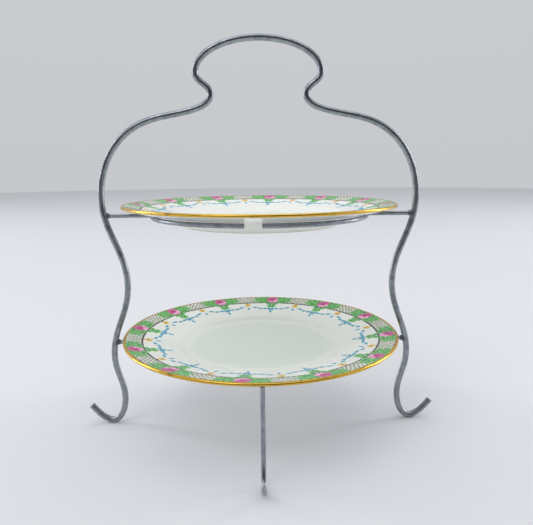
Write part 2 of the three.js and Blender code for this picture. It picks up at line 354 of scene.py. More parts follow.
def banded_line(add, shade):
    """A line of colour banded on with a brush: darker and lighter along its length."""
    stroke = 5 * MM
    place = add("UVMap", uv_map=PATTERN_MAP)
    load = add("TexNoise", {"Vector": place, "Scale": 1 / stroke, "Detail": 4})
    thin = add("MapRange", {0: load, 1: 0.45, 2: 0.8, 3: 0, 4: 0.5})
    paint = add("Mix", {0: thin, 6: tone(shade), 7: tone("lattice")}, **COLOUR_MIX)
    return {"Base Color": paint, "Roughness": 0.22, "IOR": 1.55}


def dark_banded_overglaze_line(add):
    return banded_line(add, "line")


def brown_banded_overglaze_line(add):
    return banded_line(add, "hairline")


def printed_overglaze_lattice(add):
    """A transfer print: pale diamonds inside fine brown lines that a hand engraved, so none is
    quite regular, sunk into the gloss of the glaze."""
    border = settings("border")
    # The line's half width is a share of the lattice's pitch.
    line_width, leafy, plain = 0.17, 13 * MM, 24 * MM
    place = add("UVMap", uv_map=PATTERN_MAP)
    along = add("SeparateXYZ", {0: place})
    # How far the nearest rose is, round the rim
    between = 2 * math.pi * PLATES["lower"][1].x / border.repeats
    from_rose = add("Math", {0: along, 1: between / 2}, operation="PINGPONG")
    diamonds = {"Vector": place, "Angle": math.pi / 4}
    slanted = add("VectorRotate", diamonds, rotation_type="Z_AXIS")
    cells = {"Vector": slanted, "Scale": 1 / border.lattice, "Randomness": 0.22}
    to_edge = {"voronoi_dimensions": "2D", "feature": "DISTANCE_TO_EDGE"}
    edge = add("TexVoronoi", cells, out="Distance", **to_edge)
    tint = add("TexVoronoi", cells, out="Color", voronoi_dimensions="2D")
    pale = add("Mix", {0: tint, 6: tone("ground"), 7: tone("ground_tint")}, **COLOUR_MIX)
    nearness = {0: from_rose, 1: leafy, 2: plain, 3: 0.9, 4: 0}
    near = add("MapRange", nearness, interpolation_type="SMOOTHSTEP")
    cell = add("Mix", {0: near, 6: pale, 7: tone("leafy_ground")}, **COLOUR_MIX)
    ink = {0: edge, 1: line_width * 0.4, 2: line_width, 3: 0.95, 4: 0}
    inked = add("MapRange", ink, interpolation_type="SMOOTHSTEP")
    printed = add("Mix", {0: inked, 6: cell, 7: tone("lattice")}, **COLOUR_MIX)
    relief = add("Bump", {"Height": inked, "Strength": 0.3, "Distance": 0.03 * MM})
    return {"Base Color": printed, "Roughness": 0.16, "IOR": 1.54, "Normal": relief}


def enamel(add, base, tip, vein=0.0):
    """Overglaze enamel laid with a brush: a domed spot, deeper in colour where it is thick, with
    a vein of its base colour down the middle where vein says how strong."""
    blotch, unevenness = 1.4 * MM, 0.9
    place = add("UVMap", uv_map=PATTERN_MAP)
    across, along = add("SeparateXYZ", {0: place}).node.outputs[:2]
    own = add("TexCoord", out="Object")
    blot = add("TexNoise", {"Vector": own, "Scale": 1 / blotch, "Detail": 3})
    spreading = {0: blot, 1: unevenness, 2: -unevenness / 2}
    spread = add("Math", spreading, operation="MULTIPLY_ADD")
    share = add("Math", {0: along, 1: spread}, use_clamp=True)
    paint = add("Mix", {0: share, 6: tone(base), 7: tone(tip)}, **COLOUR_MIX)
    if vein:
        off_middle = add("Math", {0: across, 1: 0.5}, operation="SUBTRACT")
        apart = add("Math", {0: off_middle}, operation="ABSOLUTE")
        ribbed = add("MapRange", {0: apart, 1: 0.05, 2: 0.16, 3: vein, 4: 0})
        paint = add("Mix", {0: ribbed, 6: paint, 7: tone(base)}, **COLOUR_MIX)
    relief = add("Bump", {"Height": blot, "Strength": 0.3, "Distance": 0.05 * MM})
    return {"Base Color": paint, "Roughness": 0.2, "IOR": 1.55, "Normal": relief}


def leaf_green_overglaze_enamel(add):
    return enamel(add, "leaf_dark", "leaf", vein=0.8)


def dark_bud_overglaze_enamel(add):
    return enamel(add, "bud", "leaf_dark")


def pale_rose_overglaze_enamel(add):
    return enamel(add, "rose", "rose_pale")


def mid_rose_overglaze_enamel(add):
    return enamel(add, "rose_deep", "rose")


def deep_rose_overglaze_enamel(add):
    return enamel(add, "rose_deep", "rose_deep")


def turquoise_overglaze_enamel(add):
    return enamel(add, "turquoise_dark", "turquoise", vein=0.3)


def yellow_overglaze_enamel(add):
    return enamel(add, "yellow_shade", "yellow")


def brown_heart_overglaze_enamel(add):
    return enamel(add, "hairline", "yellow_dark")


def matt_painted_board(add):
    """Board under matt emulsion: pale and even, with the faint stipple of a roller."""
    stipple = 1.5 * MM
    own = add("TexCoord", out="Object")
    grain = add("TexNoise", {"Vector": own, "Scale": 1 / stipple, "Detail": 3})
    relief = add("Bump", {"Height": grain, "Strength": 0.25, "Distance": 0.1 * MM})
    return {"Base Color": tone("floor"), "Roughness": 0.65, "Normal": relief}


def black_cotton_velvet(add):
    """Black cotton velvet, woven with a cut pile: it swallows light, with a faint nap."""
    nap = 3 * MM
    own = add("TexCoord", out="Object")
    pile = add("TexNoise", {"Vector": own, "Scale": 1 / nap, "Detail": 3})
    relief = add("Bump", {"Height": pile, "Strength": 0.4, "Distance": 0.5 * MM})
    return {"Base Color": tone("velvet"), "Roughness": 0.95, "Normal": relief}


# ---------------------------------------------------------------- mesh making

PLATE_SEGMENTS = 240
WIRE_SIDES = 28
CUT_CHAMFER = 0.3 * MM
TINY = 1e-9


def new_piece(name, bm, materials, body, replaced=(), sharp=40):
    """Turns the bmesh into a piece of the object that moves with a body of the frame."""
    mesh = bpy.data.meshes.new(name)
    bm.normal_update()
    bm.to_mesh(mesh)
    bm.free()
    mesh.polygons.foreach_set("use_smooth", [True] * len(mesh.polygons))
    mesh.set_sharp_from_angle(angle=math.radians(sharp))
    for material in materials:
        mesh.materials.append(finish(material))
    piece = bpy.data.objects.new(name, mesh)
    bpy.context.scene.collection.objects.link(piece)
    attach(piece, body)
    if replaced:
        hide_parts(*replaced)
    return piece


def add_grid(bm, uv_map, rows, places, closed_rows=False):
    """Faces between closed rows of vertices. places(row, column) gives the map's coordinates. A
    row of one vertex is a point, and faces beside it are triangles."""
    faces = []
    for row in range(len(rows) if closed_rows else len(rows) - 1):
        here, there = rows[row], rows[(row + 1) % len(rows)]
        for column in range(max(len(here), len(there))):
            corners = [(row, column), (row, column + 1), (row + 1, column + 1), (row + 1, column)]
            vertices = [
                here[column % len(here)],
                here[(column + 1) % len(here)],
                there[(column + 1) % len(there)],
                there[column % len(there)],
            ]
            kept = [i for i in range(4) if vertices[i] not in vertices[:i]]
            face = bm.faces.new([vertices[i] for i in kept])
            for loop, i in zip(face.loops, kept):
                loop[uv_map].uv = places(*corners[i])
            faces.append(face)
    return faces


def sweep_wire(points, normal, radius, closed=False):
    """A round wire along points that lie in the plane square to normal. Its cut ends are square,
    with a broken edge."""
    bm = bmesh.new()
    uv_map = bm.loops.layers.uv.new(WIRE_MAP)
    count = len(points)
    sections, run = [], 0.0
    for index, point in enumerate(points):
        before = points[index - 1] if closed or index else point
        after = points[(index + 1) % count] if closed or index < count - 1 else point
        along = (after - before).normalized()
        run += (point - points[index - 1]).length if index else 0
        sections.append((point, along.cross(normal), radius, run))
    if not closed:
        for end, inward in ((0, 1), (-1, -1)):
            point, side, _, run_here = sections[end]
            along = normal.cross(side)
            face = (point, side, radius - CUT_CHAMFER, run_here)
            sections[end] = (point + along * CUT_CHAMFER * inward, side, radius, run_here)
            sections.insert(0 if inward > 0 else len(sections), face)
    turns = [2 * math.pi * i / WIRE_SIDES for i in range(WIRE_SIDES)]
    rows = []
    for centre, side, reach, _ in sections:
        spokes = [side * math.cos(a) + normal * math.sin(a) for a in turns]
        rows.append([bm.verts.new(centre + spoke * reach) for spoke in spokes])
    runs = [section[3] for section in sections] + [run + (points[0] - points[-1]).length]
    around = 2 * math.pi * radius / WIRE_SIDES
    add_grid(bm, uv_map, rows, lambda row, column: (column * around, runs[row]), closed)
    if not closed:
        bm.faces.new(rows[0][::-1])
        bm.faces.new(rows[-1])
    return bm


def turn(section, closed, start=0.0):
    """Turns a section of (radius, height) points about the upright axis, from the angle start.
    The map's first coordinate is measured round the lower plate's edge, whatever the radius."""
    bm = bmesh.new()
    uv_map = bm.loops.layers.uv.new(PATTERN_MAP)
    rows = []
    for radius, height in section:
        steps = PLATE_SEGMENTS if radius > TINY else 1
        angles = [start + 2 * math.pi * i / PLATE_SEGMENTS for i in range(steps)]
        row = [(radius * math.cos(a), radius * math.sin(a), height) for a in angles]
        rows.append([bm.verts.new(point) for point in row])
    arc = 2 * math.pi * PLATES["lower"][1].x / PLATE_SEGMENTS
    run = [0.0]
    for here, there in zip(section, [*section[1:], section[0]]):
        run.append(run[-1] + math.dist(here, there))
    faces = add_grid(bm, uv_map, rows, lambda row, column: (column * arc, run[row]), closed)
    return bm, faces


# ---------------------------------------------------------------- bent wire

BEND_STEPS = 18
RING_STEPS = 240
BAR_STEPS = 12
GENTLE_REACH = 0.38
PARALLEL = 1e-6
LEVEL = Vector((0, 0, 1))
SIDEWAYS = Vector((0, 1, 0))


def station(out, up, heading):
    """A place on a wire's centre line and the way it heads there; 0 is outward, negative down."""
    return Vector((out, up)), Vector((math.cos(heading), math.sin(heading)))


def bend(start, end):
    """Points along one smooth bend: a round turn where the two headings meet, else a gentle S."""
    (here, leaving), (there, arriving) = start, end
    across = there - here
    crossing = leaving.cross(arriving)
    reach = (GENTLE_REACH * across.length,) * 2
    if abs(crossing) > PARALLEL:
        before, after = across.cross(arriving) / crossing, leaving.cross(across) / crossing
        if before > 0 and after > 0:
            turned = leaving.angle(arriving)
            roundness = 4 / 3 * math.tan(turned / 4) / math.tan(turned / 2)
            reach = (roundness * before, roundness * after)
    curve = (here, here + leaving * reach[0], there - arriving * reach[1], there)
    return interpolate_bezier(*[p.to_3d() for p in curve], BEND_STEPS + 1)


def centre_line(stations, heading=0.0):
    """The centre line through stations, in the upright plane that faces heading."""
    points = [stations[0][0]]
    for start, end in zip(stations, stations[1:]):
        points += bend(start, end)[1:]
    upright = Matrix.Rotation(heading, 3, "Z")
    return [upright @ Vector((p.x, 0, p.y)) for p in points]


def hook_foot(ankle_out, sole_height):
    """The stations of a hook foot, from its ankle to its tip."""
    foot = settings("feet")
    sole_out = ankle_out + foot.sole
    tip = station(sole_out + foot.tip_out, sole_height + foot.tip_up, foot.tip_angle)
    behind = tip[0] - tip[1] * foot.tip_straight
    return [
        station(ankle_out, foot.ankle_up, -math.pi / 2),
        station(sole_out, sole_height, 0),
        station(behind.x, behind.y, foot.tip_angle),
        tip,
    ]


def rod_stations():
    """The right-hand half of the main rod, from the crown of the handle to the tip of the foot."""
    rod, foot, down = settings("rod"), settings("feet"), -math.pi / 2
    shoulder = PLATES["upper"][1].x + rod.shoulder_out
    bulge = PLATES["lower"][1].x + rod.bulge_out
    lower, upper = RINGS["lower"][0], RINGS["upper"][0]
    neck = upper + rod.neck_up
    handle = neck + rod.handle_up
    return [
        station(0, handle + rod.handle_crown, 0),
        station(rod.handle_half, handle, down),
        station(rod.neck_half, neck, down),
        station(rod.neck_half + rod.neck_turn, neck - rod.neck_turn_drop, -rod.neck_turn_angle),
        station(shoulder - rod.slope_in, upper + rod.slope_up, -rod.slope_angle),
        station(shoulder, upper + rod.shoulder_up, down),
        station(bulge - rod.waist_in, lower + rod.waist_up, down),
        station(bulge, lower - rod.bulge_drop, down),
        *hook_foot(bulge - foot.ankle_in, rod.diameter / 2),
    ]


def upright_at(height):
    """How far out the upright's centre line is at a height above the feet."""
    line = [p for p in centre_line(rod_stations()) if p.x > 0]
    above = [p for p in line if p.z >= height]
    return above[-1].lerp(line[len(above)], 0.5).x


def new_wire(name, bm, node):
    new_piece(name, bm, [dull_nickel_plated_drawn_steel], "stand", [node])


class CAKE_OT_main_rod(bpy.types.Operator):
    """Bend the main rod: foot, upright, shoulder, neck and handle in one length"""

    bl_idname = "cake.main_rod"
    bl_label = "Main Rod"

    def execute(self, context):
        half = centre_line(rod_stations())
        mirrored = [Vector((-p.x, p.y, p.z)) for p in half[:0:-1]]
        bm = sweep_wire(mirrored + half, SIDEWAYS, settings("rod").diameter / 2)
        new_wire("bent_rod", bm, "main_rod")
        return {"FINISHED"}


class CAKE_OT_plate_rings(bpy.types.Operator):
    """Bend the open upper ring and the closed lower ring"""

    bl_idname = "cake.plate_rings"
    bl_label = "Plate Rings"

    def execute(self, context):
        foot = settings("feet")
        for tier, (height, radius) in RINGS.items():
            opened = tier == "upper"
            gap = foot.ring_opening / radius if opened else 0
            middle = -math.pi / 2 - foot.opening_offset / radius
            start, sweep = middle + gap / 2, 2 * math.pi - gap
            count = RING_STEPS + 1 if opened else RING_STEPS
            angles = [start + sweep * i / RING_STEPS for i in range(count)]
            points = [Vector((radius * math.cos(a), radius * math.sin(a), height)) for a in angles]
            bm = sweep_wire(points, LEVEL, WIRE_DIAMETER / 2, closed=not opened)
            new_wire(f"{tier}_wire_ring", bm, f"{tier}_ring")
        return {"FINISHED"}


class CAKE_OT_cross_bars(bpy.types.Operator):
    """Cut the four short bars that hang the rings between the uprights"""

    bl_idname = "cake.cross_bars"
    bl_label = "Cross Bars"

    def execute(self, context):
        for (tier, (height, radius)), (side, sign) in product(RINGS.items(), SIDES):
            start = Vector((sign * radius, 0, height))
            end = Vector((sign * upright_at(height), 0, height))
            points = [start.lerp(end, i / BAR_STEPS) for i in range(BAR_STEPS + 1)]
            node = f"{tier}_{side}_bar"
            new_wire(f"{node}_wire", sweep_wire(points, LEVEL, WIRE_DIAMETER / 2), node)
        return {"FINISHED"}


class CAKE_OT_wire_legs(bpy.types.Operator):
    """Bend the front and rear wire legs with their hook feet"""

    bl_idname = "cake.wire_legs"
    bl_label = "Wire Legs"

    def execute(self, context):
        height, radius = RINGS["lower"]
        foot = hook_foot(radius + settings("feet").leg_out, WIRE_DIAMETER / 2)
        stations = [station(radius, height, -math.pi / 2), *foot]
        for end, heading in (("front", -math.pi / 2), ("rear", math.pi / 2)):
            square = Matrix.Rotation(heading, 3, "Z") @ SIDEWAYS
            bm = sweep_wire(centre_line(stations, heading), square, WIRE_DIAMETER / 2)
            new_wire(f"{end}_wire_leg", bm, f"{end}_leg")
        return {"FINISHED"}


BEAD_RINGS = 16
BEAD_SIDES = 28
# How far a bead runs along its wire from the face of what it is welded to, and its radius there
ROD_BEAD = (2.6 * MM, 3.3 * MM)
RING_BEAD = (2.2 * MM, 2.3 * MM)
LEG_BEAD = (2.4 * MM, 2.3 * MM)
# How far a bead ends short of that piece's centre line, as a share of its radius
ROD_SINK, RING_SINK, LEG_SINK = 0.4, 0.3, 0.5
RING_BEAD_SAG = 0.3 * MM
BEAD_SKIN = 0.02 * MM
BEAD_SWELL = 1.6
LUMP_SIZE, LUMP_HEIGHT = 1.6 * MM, 0.09
SEED_STEP = 7


def fillet(start, end, start_radius, end_radius, seed):
    """A fillet of weld metal from start, on the wire, to end, inside what it is welded to."""
    bm = bmesh.new()
    axis = (end - start).normalized()
    side = axis.orthogonal().normalized()
    across = axis.cross(side)
    rows = []
    for ring in range(BEAD_RINGS + 1):
        share = ring / BEAD_RINGS
        # Rises slowly off the wire, swells, then stays full where it wets the other piece.
        swell = math.sin(math.pi / 2 * share) ** BEAD_SWELL
        radius = start_radius + (end_radius - start_radius) * swell
        centre = start.lerp(end, share)
        row = []
        for i in range(BEAD_SIDES):
            a = 2 * math.pi * i / BEAD_SIDES
            out = side * math.cos(a) + across * math.sin(a)
            lump = noise.noise((centre + out * radius) / LUMP_SIZE + Vector((seed, 0, 0)))
            row.append(bm.verts.new(centre + out * radius * (1 + LUMP_HEIGHT * lump * swell)))
        rows.append(row)
    uv_map = bm.loops.layers.uv.new(WIRE_MAP)
    add_grid(bm, uv_map, rows, lambda row, column: (column, row))
    bm.faces.new(rows[0][::-1])
    bm.faces.new(rows[-1])
    return bm


class CAKE_OT_weld_beads(bpy.types.Operator):
    """Lay the weld beads at the uprights, the rings and the legs"""

    bl_idname = "cake.weld_beads"
    bl_label = "Weld Beads"

    def execute(self, context):
        rod, wire = settings("rod").diameter / 2, WIRE_DIAMETER / 2
        beads = {}
        for (tier, (height, radius)), (side, sign) in product(RINGS.items(), SIDES):
            outer = upright_at(height)
            on_rod = Vector((sign * (outer - ROD_SINK * rod), 0, height))
            off_rod = Vector((sign * (outer - rod - ROD_BEAD[0]), 0, height))
            on_ring = Vector((sign * (radius + RING_SINK * wire), 0, height - RING_BEAD_SAG))
            off_ring = Vector((sign * (radius + wire + RING_BEAD[0]), 0, height))
            beads[f"{tier}_{side}_upright"] = (off_rod, on_rod, ROD_BEAD[1])
            beads[f"{tier}_{side}_ring"] = (off_ring, on_ring, RING_BEAD[1])
        height, radius = RINGS["lower"]
        for end, sign in (("front", -1), ("rear", 1)):
            on_ring = Vector((0, sign * radius, height - LEG_SINK * wire))
            off_ring = Vector((0, sign * radius, height - wire - LEG_BEAD[0]))
            beads[f"{end}_leg"] = (off_ring, on_ring, LEG_BEAD[1])
        finishes = [nickel_plated_weld_bead]
        for index, (name, (off, on, size)) in enumerate(beads.items(), 1):
            bm = fillet(off, on, wire + BEAD_SKIN, size, SEED_STEP * index)
            new_piece(f"bead_{name}", bm, finishes, "stand", [f"weld_{name}"])
        return {"FINISHED"}


# ---------------------------------------------------------------- plates

CURVE_STEPS = 14
CORNER_POINTS = 7
CORNER_REACH = 0.55
FOOT_COVE = 1.6 * MM
# Points of the rounded foot, from each end, that are glazed
FOOT_GLAZED = 2


def corner(start, middle, end):
    """Points of a rounded corner, from start to end."""
    start, middle, end = (Vector((*p, 0)) for p in (start, middle, end))
    handles = (start.lerp(middle, CORNER_REACH), end.lerp(middle, CORNER_REACH))
    return [p.to_2d() for p in interpolate_bezier(start, *handles, end, CORNER_POINTS)]


class PlateForm:
    """The section of one plate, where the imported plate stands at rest."""

    def __init__(self, tier):
        sizes = settings("plates")
        low, high = PLATES[tier]
        self.tier, self.base, self.radius = tier, low.z, high.x
        self.scale = self.radius / PLATES["lower"][1].x
        self.edge_radius = sizes.rim_edge / 2
        self.edge = Vector((self.radius - self.edge_radius, sizes.height - self.edge_radius))
        self.floor = sizes.foot_height + sizes.floor_thickness
        self.shoulder = Vector((sizes.well_radius, self.floor + sizes.well_step))
        rise, run = sizes.height - self.shoulder.y, self.radius - self.shoulder.x
        self.top_slope = math.atan2(rise, run)
        top_at_knee = self.shoulder.y + sizes.knee * math.tan(self.top_slope)
        self.knee = Vector((sizes.well_radius + sizes.knee, top_at_knee - sizes.rim_thickness))
        under_rise = sizes.height - sizes.rim_edge - self.knee.y
        self.under_slope = math.atan2(under_rise, self.edge.x - self.knee.x)
        self.crest = self.edge_point(self.top_slope + math.pi / 2)

    def edge_point(self, turned, skin=0.0):
        """A point of the rounded edge, or skin outside it."""
        reach = self.edge_radius + skin
        return self.edge + Vector((math.cos(turned), math.sin(turned))) * reach

    def top(self, radius):
        """Height of the rim's upper face at a radius."""
        if radius > self.crest.x:
            squared = self.edge_radius**2 - (radius - self.edge.x) ** 2
            return self.edge.y + math.sqrt(max(0, squared))
        share = (radius - self.shoulder.x) / (self.crest.x - self.shoulder.x)
        return self.shoulder.y + share * (self.crest.y - self.shoulder.y)

    def section(self):
        """The whole outline from the axis, under the plate, round its edge and back over the top,
        and the first and last point of the ground foot."""
        sizes = settings("plates")
        foot, width, lift = sizes.foot_radius, sizes.foot_width / 2, sizes.foot_height
        points = [Vector((foot * share, lift)) for share in (0, 0.3, 0.6, 0.9)]
        inside = foot - width
        points += corner((inside - FOOT_COVE, lift), (inside, lift), (inside, width))
        foot_start = len(points) + FOOT_GLAZED
        for step in range(1, CURVE_STEPS + 1):
            a = math.pi + math.pi * step / CURVE_STEPS
            points.append(Vector((foot + width * math.cos(a), width + width * math.sin(a))))
        foot_end = len(points) - 1 - FOOT_GLAZED
        under = self.under_slope - math.pi / 2
        start, rim = Vector((foot + width, lift)), self.edge_point(under)
        wall_end, rim_start = self.knee.lerp(start, 0.4), self.knee.lerp(rim, 0.15)
        points += corner((foot + width, width + 0.1 * MM), start, start.lerp(self.knee, 0.25))
        points += [wall_end, *corner(wall_end, self.knee, rim_start)]
        points += [rim_start.lerp(rim, share) for share in (0.2, 0.4, 0.6, 0.8, 0.95)]
        end = self.top_slope + math.pi / 2
        turns = [under + (end - under) * step / CURVE_STEPS for step in range(CURVE_STEPS + 1)]
        points += [self.edge_point(turned) for turned in turns]
        points += [self.crest.lerp(self.shoulder, share) for share in (0.1, 0.3, 0.5, 0.7, 0.9)]
        run = (sizes.well_radius - sizes.floor_radius) / 2
        flat = Vector((sizes.floor_radius, self.floor))
        leaving = self.shoulder - Vector((run, run * math.tan(self.top_slope)))
        wall = (self.shoulder, leaving, flat + Vector((run, 0)), flat)
        curve = interpolate_bezier(*[p.to_3d() for p in wall], 2 * CURVE_STEPS)
        points += [p.to_2d() for p in curve]
        points += [Vector((flat.x * share, self.floor)) for share in (0.8, 0.5, 0.2, 0)]
        return [(p.x, p.y + self.base) for p in points], foot_start, foot_end


class CAKE_OT_plates(bpy.types.Operator):
    """Turn both bone china plates, glazed all over but for the ground foot ring"""

    bl_idname = "cake.plates"
    bl_label = "China Plates"

    def execute(self, context):
        finishes = [glazed_bone_china, ground_biscuit_china]
        for tier in TIERS:
            section, foot_start, foot_end = PlateForm(tier).section()
            bm, faces = turn(section, closed=False)
            for index, face in enumerate(faces):
                row = index // PLATE_SEGMENTS
                face.material_index = int(foot_start <= row < foot_end)
            node = f"{tier}_plate"
            new_piece(f"{tier}_china_plate", bm, finishes, node, [node], sharp=70)
        return {"FINISHED"}


# ---------------------------------------------------------------- gilding and printed bands

GILDING_STEPS = 20
# The gold goes a little way under the edge.
GILDING_UNDER = math.radians(20)
BAND_STEPS = 8
LINE_THICKNESS = 1.2


def band_section(form, inner, outer, film):
    """A thin closed section that lies on the rim's upper face between two radii."""
    radii = [inner + (outer - inner) * i / BAND_STEPS for i in range(BAND_STEPS + 1)]
    above = [(r, form.base + form.top(r) + film) for r in radii]
    below = [(r, form.base + form.top(r) - film) for r in reversed(radii)]
    return below + above


class CAKE_OT_gilding(bpy.types.Operator):
    """Gild the edge of each plate"""

    bl_idname = "cake.gilding"
    bl_label = "Gilt Edges"

    def execute(self, context):
        border = settings("border")
        for tier in TIERS:
            form = PlateForm(tier)
            start = form.under_slope - math.pi / 2 + GILDING_UNDER
            sweep = form.top_slope + math.pi / 2 - start
            turns = [start + sweep * i / GILDING_STEPS for i in range(GILDING_STEPS + 1)]
            inner = form.radius - border.gilt * form.scale
            flat, up = Vector((inner, form.top(inner))), Vector((0, border.film))
            outside = [form.edge_point(a, border.film) for a in turns] + [flat + up]
            inside = [flat - up] + [form.edge_point(a, -border.film) for a in reversed(turns)]
            section = [(p.x, p.y + form.base) for p in outside + inside]
            bm, _ = turn(section, closed=True)
            name, finishes = f"{tier}_gilt_edge", [burnished_gold_on_glaze]
            new_piece(name, bm, finishes, f"{tier}_plate", sharp=60)
        return {"FINISHED"}


def border_radii(form):
    """The radii between the gilding, the hairline, the lattice and the dark line."""
    border = settings("border")
    gilt = form.radius - border.gilt * form.scale
    hairline = gilt - border.hairline * form.scale
    ground = hairline - border.ground * form.scale
    return gilt, hairline, ground, ground - border.dark_line * form.scale


def rose_angles(form):
    border = settings("border")
    first = getattr(border, f"{form.tier}_turn")
    return [first + 2 * math.pi * i / border.repeats for i in range(border.repeats)]


class CAKE_OT_printed_bands(bpy.types.Operator):
    """Print the lattice band of each plate between its brown hairline and its dark line"""

    bl_idname = "cake.printed_bands"
    bl_label = "Printed Bands"

    def execute(self, context):
        film = settings("border").film
        line = film * LINE_THICKNESS
        for tier in TIERS:
            form = PlateForm(tier)
            gilt, hairline, ground, dark = border_radii(form)
            bands = [
                ("hairline", hairline, gilt, line, brown_banded_overglaze_line),
                ("lattice_print", ground, hairline, film, printed_overglaze_lattice),
                ("dark_line", dark, ground, line, dark_banded_overglaze_line),
            ]
            for name, inner, outer, thickness, material in bands:
                section = band_section(form, inner, outer, thickness)
                bm, _ = turn(section, closed=True, start=rose_angles(form)[0])
                new_piece(f"{tier}_{name}", bm, [material], f"{tier}_plate")
        return {"FINISHED"}


# ---------------------------------------------------------------- enamels

OUTLINE_STEPS = 7
# How a spot domes, as shares of its outline and of its height above the printed colour
DOME = ((1, 0), (0.8, 0.75), (0.4, 1))
# The fullness of each kind of motif: 1 gives a pointed leaf, and less gives a blunter petal.
LEAF, HUSK, DROP, PETAL, ROSE_PETAL, ROUND, STEM = 1.0, 0.8, 0.7, 0.6, 0.55, 0.5, 0.4

# Rows of a rose's petals: how many, and in shares of its radius how far out, how long and how
# wide, then the height of the row in millimetres
ROSE_ROWS = [
    (7, 0.38, 0.64, 0.72, 0.00),
    (5, 0.16, 0.52, 0.66, 0.06),
    (3, 0.02, 0.36, 0.46, 0.12),
]
# Each petal lies a little over the one before, in millimetres, and turns a little at random.
PETAL_STACK, PETAL_SWAY = 0.008, 0.12
# Where the painted light comes from, and how squarely a petal faces it to be pale
LIGHT_TURN, LIT_ABOVE = math.radians(200), 0.1

# Motifs on one side of a rose's radius, in millimetres from its middle: distance along the rim,
# distance outward, length, width, and the turn in degrees from pointing outward. Each has a twin
# on the other side.
ROSE_LEAVES = [
    (4.4, 3.4, 9.0, 5.6, 64),
    (5.0, 0.2, 10.2, 5.6, 92),
    (4.4, -3.4, 9.0, 5.4, 118),
    (10.4, 4.0, 8.2, 5.0, 74),
    (12.2, 0.4, 8.2, 5.0, 98),
    (10.4, -3.6, 8.0, 4.8, 104),
    (16.6, 3.6, 6.8, 4.2, 82),
    (16.8, -2.2, 7.0, 4.2, 96),
]
ROSE_BUDS = [
    (8.4, 4.4, 2.7, 2.4, 0),
    (10.8, -5.8, 2.5, 2.3, 0),
    (13.8, 4.4, 2.4, 2.2, 0),
    (15.2, -5.0, 2.3, 2.1, 0),
    (19.6, 0.2, 2.2, 2.0, 0),
]
# The same, with the distance inward from the dark line, for what hangs inside a rose
PENDANT_LEAVES = [
    (0.4, 0.8, 7.6, 4.4, 102),
    (0.2, 2.0, 6.8, 4.4, 140),
    (0.2, 6.4, 6.6, 4.2, 112),
    (0.2, 7.0, 5.6, 3.6, 152),
]
PENDANT_HUSKS = [(0, 13.6, 6.0, 3.8, 98), (0, 15.0, 5.2, 3.2, 140)]
# Each leaf lies a little over the one before, and buds lie on the leaves, in millimetres.
LEAF_STACK, BUD_RAISED, HEART_RAISED = 0.006, 0.12, 0.1

# Husks of the festoon between a rose and the next blossom: share of the way, millimetres inside
# the dark line, and the turn in degrees
FESTOON_HUSKS = [(0.25, 14.2, 96), (0.48, 14.4, 88), (0.71, 11.8, 74)]
# A husk and the stem that runs through it: length, width and fullness
HUSK_AND_STEM = ((5.8, 3.8, HUSK), (10.4, 0.55, STEM))
# Drops that point inward: millimetres inside the dark line, length and width
PENDANT_DROP, FESTOON_DROP = (19.0, 6.8, 3.8), (11.4, 6.0, 3.4)
# A blossom between two roses: its middle inside the dark line, and its petals' number and size
BLOSSOM_INSIDE = 4.8
BLOSSOM_PETALS, BLOSSOM_LENGTH, BLOSSOM_WIDTH = 5, 4.2, 3.4
# Its hearts: millimetres inside its middle, length and width
BLOSSOM_HEARTS = ((-0.8, 1.6, 1.6), (-5.4, 1.8, 1.8))


def bud_outline(size, width, fullness):
    """Outline of a petal or leaf from its base at the origin to its tip, with its place across
    and along. A low fullness gives a blunt petal and a high one a pointed leaf."""
    shares = [0.5 - 0.5 * math.cos(math.pi * i / OUTLINE_STEPS) for i in range(OUTLINE_STEPS + 1)]
    right = [(width / 2 * math.sin(math.pi * s) ** fullness, s * size, 1, s) for s in shares]
    left = [(-x, y, 0, s) for x, y, _, s in reversed(right[1:-1])]
    return right + left


def twins(motifs, scale, inward=False):
    """Each motif of a table and its mirror image, in metres and radians."""
    for along, out, size, width, turned in motifs:
        out = -out if inward else out
        for sign in (-1, 1):
            lengths = [value * MM * scale for value in (sign * along, out, size, width)]
            yield (*lengths, sign * math.radians(turned))


def drop(inside, size, width, unit):
    """A motif that points straight inward from a place inside its radius."""
    return (0, -inside * unit, size * unit, width * unit, math.pi)


